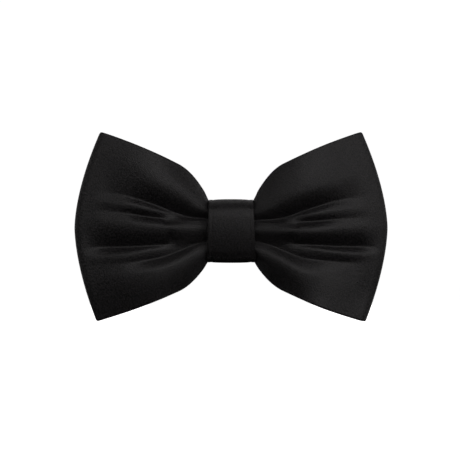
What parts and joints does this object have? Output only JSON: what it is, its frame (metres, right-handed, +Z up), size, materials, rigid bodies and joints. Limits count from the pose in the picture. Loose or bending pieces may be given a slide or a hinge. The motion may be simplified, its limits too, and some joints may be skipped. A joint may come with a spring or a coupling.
{
  "type": "bow tie",
  "caption": "Clip-on bow tie: pleated satin wings with a wrapped knot, and a two-jaw spring clip behind it that grips a shirt collar.",
  "frame": {"origin": "middle of the knot's rear face, where the band's lapped end rests on the collar", "axes": "+X across the wearer along the bow, +Y from the front of the bow to the wearer, +Z up"},
  "size_m": [0.12, 0.0216, 0.0726],
  "materials": {
    "satin": "satin",
    "interlining": "matte",
    "thread": "matte",
    "nickel_plate": "polished",
    "pin_steel": "satin",
    "spring_steel": "bright"
  },
  "bodies": {
    "bow": {"bow_loop": "satin", "bow_interlining": "interlining", "gather_thread": "thread", "knot_band": "satin", "knot_interlining": "interlining", "knot_stitches": "thread", "clip_plate": "nickel_plate", "clip_tacks": "thread", "left_hinge_pin": "pin_steel", "right_hinge_pin": "pin_steel", "left_spring": "spring_steel", "right_spring": "spring_steel"},
    "left_jaw": {"left_jaw": "nickel_plate"},
    "right_jaw": {"right_jaw": "nickel_plate"}
  },
  "joints": [
    {"name": "left_jaw_hinge", "type": "hinge", "parent": "bow", "child": "left_jaw", "pos_m": [-0.021, -0.0003, 0], "axis": [0, 0, -1], "range_deg": [0, 30], "stiffness_Nm_per_rad": 0.01, "springref_deg": -68.75, "deforming": ["left_spring"]},
    {"name": "right_jaw_hinge", "type": "hinge", "parent": "bow", "child": "right_jaw", "pos_m": [0.021, -0.0003, 0], "axis": [0, 0, 1], "range_deg": [0, 30], "stiffness_Nm_per_rad": 0.01, "springref_deg": -68.75, "deforming": ["right_spring"]}
  ]
}
